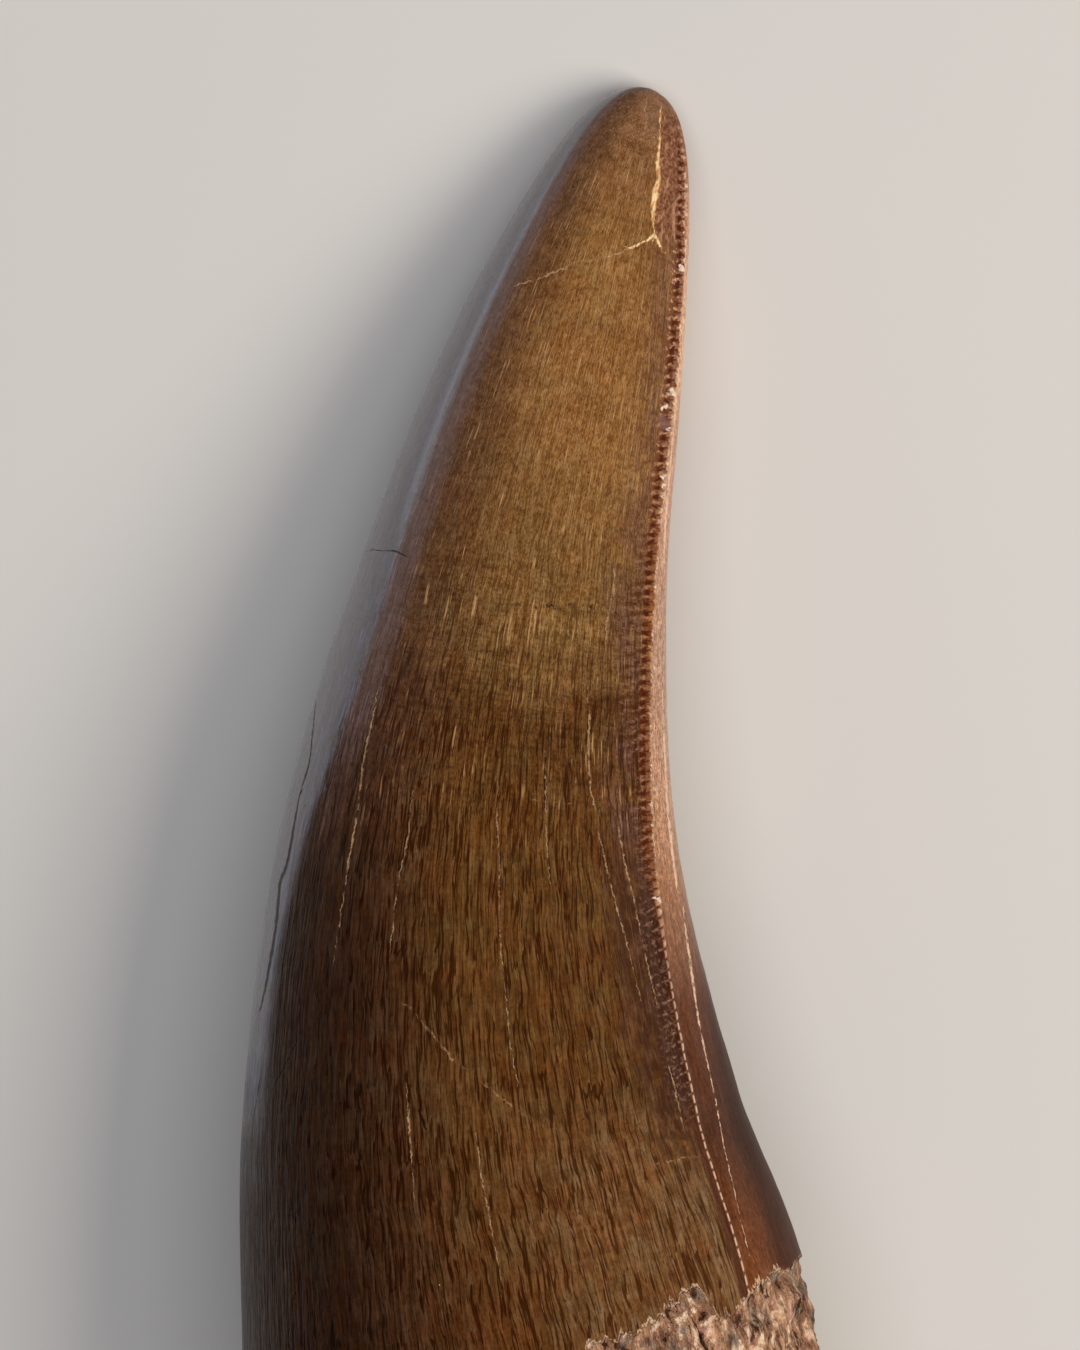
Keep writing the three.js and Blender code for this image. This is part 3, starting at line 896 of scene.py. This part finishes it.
low_band = times(band(keel_way, 0.08, 0.62, 0.04, 0.15), step(from_tip, 48, 54), keel_here)
colour = paint(colour, times(low_band, 0.8), tone(74, 36, 20))
ladder = band(from_tip, 49, 64, 2.5, 1.5)
ladder_ground = times(band(ragged_way, 0.1, 1.6, 0.08, 0.6), ladder)
colour = paint(colour, times(ladder_ground, 0.75), tone(58, 32, 22))
colour = paint(colour, times(ladder_ground, flecks((0.25, 0.25, 0.25), 0.5, 0.68), 0.3), rung_pale)
rung_count = moved(keel_count, 0.3, jitter[2])
rungs = use(serrations, {"Count": rung_count, "Slit Share": 0.16, "Softness": 0.12})[0]
rungs_reach = step(moved(ragged_way, 2.5, jitter[0]), 1.3, 0.6)
broken_rungs = times(rungs, ladder_ground, rungs_reach, flecks((0.4, 0.5, 0.4), 0.4, 0.58))
colour = paint(colour, times(broken_rungs, 0.85), rung_pale)

narrow = use(serrations, {"Count": keel_count, "Slit Share": 0.3, "Softness": 0.12})[0]
on_serration = maths("SUBTRACT", 1.0, times(narrow, 0.95))
crest_tones = tones_along(from_tip, [
    (3, tone(214, 170, 142)), (22, tone(222, 178, 144)), (27, tone(206, 154, 114)),
    (31, tone(216, 152, 90)), (35, tone(200, 148, 108)), (50, tone(198, 146, 110)),
    (60, tone(226, 184, 162)), (77, tone(232, 190, 168))])
crest_tones = paint(crest_tones, times(flecks((0.5, 0.6, 0.5), 0.5, 0.66), upper), tone(136, 78, 42))
crest_half = between(step(from_tip, 49, 55), 0.0, 0.12)
crest_way = maths("ADD", maths("ABSOLUTE", keel_way), crest_half)
crest_on = times(step(crest_way, 0.22, 0.12), keel_here)
colour = paint(colour, times(crest_on, 0.85), slit_brown)
colour = paint(colour, times(crest_on, on_serration, 0.95), crest_tones)
# Painted shade on each bead's outer half, then a painted highlight along its inner edge.
bead_shade = times(step(ragged_way, -0.06, 0.14), crest_on, on_serration, upper)
colour = paint(colour, times(bead_shade, 0.8), tone(122, 66, 38))
bead_count = maths("ADD", jogged, 0.55)
bead_tops = use(serrations, {"Count": bead_count, "Slit Share": 0.34, "Softness": 0.15})[0]
crest_highlight = times(band(ragged_way, -0.26, 0.0, 0.05, 0.06), keel_here, bead_tops)
colour = paint(colour, times(crest_highlight, upper, flecks((0.5, 0.7, 0.5), 0.4, 0.58), 0.9), bead_highlight)

# The front keel is lower and worn: small slits with paler serrations between.
front_way, front_slit_count, front_here = split(read("front_keel"))
front_slits = use(serrations, {"Count": front_slit_count, "Slit Share": 0.4, "Softness": 0.1})[0]
front_crest_on = times(band(front_way, -0.22, 0.22, 0.08, 0.08), front_here)
colour = paint(colour, times(front_crest_on, 0.5), tone(150, 104, 70))
front_toothed = times(band(front_way, -0.5, 0.5, 0.1, 0.1), front_here, front_slits)
colour = paint(colour, times(front_toothed, 0.8), slit_brown)

# Where the flake is gone the dentine shows red-brown and rough.
worn_red = blend(flecks((0.2, 0.2, 0.2), 0.35, 0.68, 4.0), tone(96, 52, 32), tone(160, 110, 84))
worn_red = paint(worn_red, flecks((0.25, 1.1, 0.25), 0.54, 0.66, 3.0), tone(188, 140, 112))
off_crest = times(step(ragged_way, -0.05, 0.2), maths("SUBTRACT", 1.0, slit_here))
colour = paint(colour, times(is_flaked, 0.8, off_crest), worn_red)


def crack_mask(name, fray, gaps):
    return use(crack, {"Place": place_on, "Line": read(name), "Fray": fray, "Gaps": gaps})["Mask"]


lip_marks = crack_mask("chip_lip", 0.35, 0.3)
pale = crack_mask("pale_cracks", 0.34, 0.42)
facet_highlight_mask = crack_mask("facet_highlight_lines", 0.22, 0.42)
scuffed = crack_mask("scuffs", 0.5, 0.52)
dirt_and_shade_cracks = crack_mask("dark_cracks", 0.2, 0.3)
dotted = crack_mask("dotted_cracks", 0.4, 0.58)
glint_mask = crack_mask("painted_glints", 0.45, 0.42)
colour = paint(colour, times(crack_mask("hollow", 0.1, 0.0), 0.85), tone(128, 92, 86))
# Painted glints: white highlights on the keel's beads.
colour = paint(colour, times(glint_mask, 0.85), tone(252, 232, 212))
colour = paint(colour, times(pale, 0.8), tone(178, 146, 112))
# Painted highlight: thin bright lines along the facet's far edge.
colour = paint(colour, times(facet_highlight_mask, 0.85), tone(238, 202, 176))
colour = paint(colour, times(scuffed, 0.6), tone(180, 142, 104))
colour = paint(colour, times(stronger(dirt_and_shade_cracks, dotted), 0.9), tone(20, 10, 6))
# The chip's lip is pale broken enamel with painted highlights in cream along it.
lip_cream = blend(flecks((0.2, 0.5, 0.2), 0.4, 0.6), tone(214, 150, 92), tone(255, 226, 176))
colour = paint(colour, times(lip_marks, 0.95), lip_cream)

# The root is bare bone-like dentine: tan fibres, with grey crumbs. Its crumbs and splinters are pale
# on their raised tops, partly pale fragments and partly painted highlight, and their hollows are
# darkened with painted shade.
root_pale = tone(222, 186, 156)
crumbs = clouds(place_on, (0.6, 0.95, 0.6), 4.0, 0.65)
splinters = clouds(place_on, (0.15, 0.7, 0.15), 3.0, 0.6)
root = blend(flecks((1.6, 1.8, 1.6), 0.42, 0.6, 3.0), tone(140, 102, 80), tone(178, 138, 110))
root = paint(root, times(flecks((1.2, 1.2, 1.2), 0.52, 0.62, 3.0), 0.75), tone(132, 118, 104))
root = paint(root, times(flecks((1.4, 1.2, 1.4), 0.54, 0.66, 3.0), 0.6), tone(196, 150, 134))
crumbly = between(flecks((2.6, 3.2, 2.6), 0.4, 0.56, 3.0), 0.5, 1.0)
crumbly = times(crumbly, between(step(edge_way, -6, -11), 1.0, 0.45))
pale_and_lit_root = tinted(root, 1.9, 2.0, 2.1)
shaded_root = tinted(root, 0.16, 0.12, 0.1)
# Following the relief: pale on raised crumbs and splinters, partly fragments and partly painted
# highlight; painted shade in the hollows.
root = paint(root, times(step(crumbs, 0.51, 0.59), crumbly, 0.9), pale_and_lit_root)
root = paint(root, times(step(splinters, 0.52, 0.64), crumbly, 0.65), pale_and_lit_root)
root = paint(root, times(step(splinters, 0.47, 0.34), crumbly, 0.65), shaded_root)
root = paint(root, times(step(crumbs, 0.46, 0.39), crumbly), shaded_root)
root = paint(root, times(step(crumbs, 0.58, 0.64), crumbly), tone(246, 222, 196))
edge_jitter = centred(clouds(place_on, (0.5, 2.0, 0.5), 4.0, 0.65))
ragged_edge = moved(edge_way, 2.2, edge_jitter)
is_enamel = step(ragged_edge, -0.05, 0.05)
lip = band(ragged_edge, 0.0, 0.16, 0.05, 0.07)
colour = paint(colour, times(lip, flecks((0.6, 0.6, 0.6), 0.35, 0.55), 0.85), root_pale)
# Painted shade darkens the crevice in the root below the enamel.
root = paint(root, times(dirt_and_shade_cracks, 0.9), tone(28, 16, 12))
colour = blend(is_enamel, root, colour)

# Relief finer than the mesh, in millimetres: the grain, the slits, the cracks' lips and the
# root's fibres.
fibre_relief = times(centred(fibres), between(low_down, 0.04, 0.1))
fold_relief = times(off_fold, between(low_down, 0.0, 0.15))
height = maths("ADD", fibre_relief, fold_relief)
height = moved(height, -0.025, stronger(creases, crevices))
height = times(moved(height, 0.015, grit), grain_here)
rubble = clouds(place_on, (0.3, 0.4, 0.3), 3.0)
for rise, mask in (
    (-0.04, stronger(slit_here, times(wrinkle_dark, 0.6))),
    (0.03, stronger(lip_marks, times(facet_highlight_mask, 0.5))),
    (-0.02, maths("ADD", pale, dirt_and_shade_cracks)),
    (-0.02, pits),
    (0.08, times(rubble, is_flaked)),
):
    height = moved(height, rise, mask)
root_height = moved(times(crumbs, 0.9), 0.25, splinters)
height = between(is_enamel, root_height, height)
bump = linked("ShaderNodeBump", {"Strength": 1.0, "Distance": to_metres, "Height": height})
satin = between(flecks((0.5, 3, 0.5), 0.3, 0.7), 0.26, 0.36)
satin = between(stronger(is_flaked, far_facet_shadow), satin, 0.55)
rough = between(is_enamel, 0.85, satin)
tree.links.new(colour, surface.inputs["Base Color"])
tree.links.new(rough, surface.inputs["Roughness"])
polished = times(sheen_band, is_enamel, between(dirt_and_shade_cracks, 0.8, 0.0))
tree.links.new(polished, surface.inputs["Coat Weight"])
tree.links.new(bump["Normal"], surface.inputs["Normal"])
surface.inputs["Specular IOR Level"].default_value = 0.22
surface.inputs["Coat Roughness"].default_value = 0.16
mesh.materials.append(fossil)

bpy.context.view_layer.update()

# The stage: a pale floor, a camera that looks straight down on the tooth's outer side, and three
# soft lamps, one of them a cool sheen along the front edge.
bpy.ops.mesh.primitive_plane_add(size=6)
floor = bpy.context.object
floor.name = "floor"
pale_floor = bpy.data.materials.new("pale_floor")
pale_floor.use_nodes = True
floor_surface = pale_floor.node_tree.nodes["Principled BSDF"]
floor_surface.inputs["Base Color"].default_value = tone(214, 214, 216)
floor_surface.inputs["Roughness"].default_value = 0.8
floor.data.materials.append(pale_floor)

turned = Matrix(lying.tolist())
view_height = 1350  # pixels
pixels_per_mm = 16.5
middle_of_view = (0, 56.06, 0)
camera_distance = 0.45
looked_at = Vector(lying @ np.array(middle_of_view) + set_down) * to_metres
camera = bpy.data.objects.new("camera", bpy.data.cameras.new("camera"))
bpy.context.collection.objects.link(camera)
camera.data.lens = camera.data.sensor_width * camera_distance / (view_height / pixels_per_mm * to_metres)
camera.data.clip_start = 0.01
camera_place = looked_at + turned @ Vector((0, 0, camera_distance))
camera.matrix_world = Matrix.Translation(camera_place) @ turned.to_4x4()
bpy.context.scene.camera = camera


def softbox(name, place, size, power, colour, in_gloss):
    """A soft lamp at this place in metres, aimed at the tooth; in_gloss shows it in reflections."""
    lamp = bpy.data.objects.new(name, bpy.data.lights.new(name, "AREA"))
    lamp.data.shape = "RECTANGLE"
    lamp.data.size, lamp.data.size_y = size
    lamp.data.energy = power
    lamp.data.color = colour
    lamp.location = place
    towards_tooth = Vector((0, 0, 0.01)) - Vector(place)
    lamp.rotation_euler = towards_tooth.to_track_quat("-Z", "Y").to_euler()
    lamp.visible_camera = False
    lamp.visible_glossy = in_gloss
    bpy.context.collection.objects.link(lamp)


softbox("overhead", (0, 0.1, 0.9), (0.9, 0.9), 4.2, (1, 0.98, 0.96), False)
softbox("warm_right", (0.4, -0.05, 0.42), (0.4, 0.3), 2.8, (1, 0.9, 0.76), False)
softbox("cool_left", (-0.33, 0.36, 0.115), (0.36, 0.23), 0.42, (0.9, 0.94, 1), True)
world = bpy.data.worlds.new("studio")
world.use_nodes = True
sky = world.node_tree
backdrop = sky.nodes["Background"]
seen = add(sky, "ShaderNodeLightPath").outputs["Is Camera Ray"]
sky.links.new(blend(seen, (0.02, 0.02, 0.02, 1), tone(205, 205, 207)), backdrop.inputs["Color"])
bpy.context.scene.world = world
bpy.context.scene.view_settings.view_transform = "Standard"
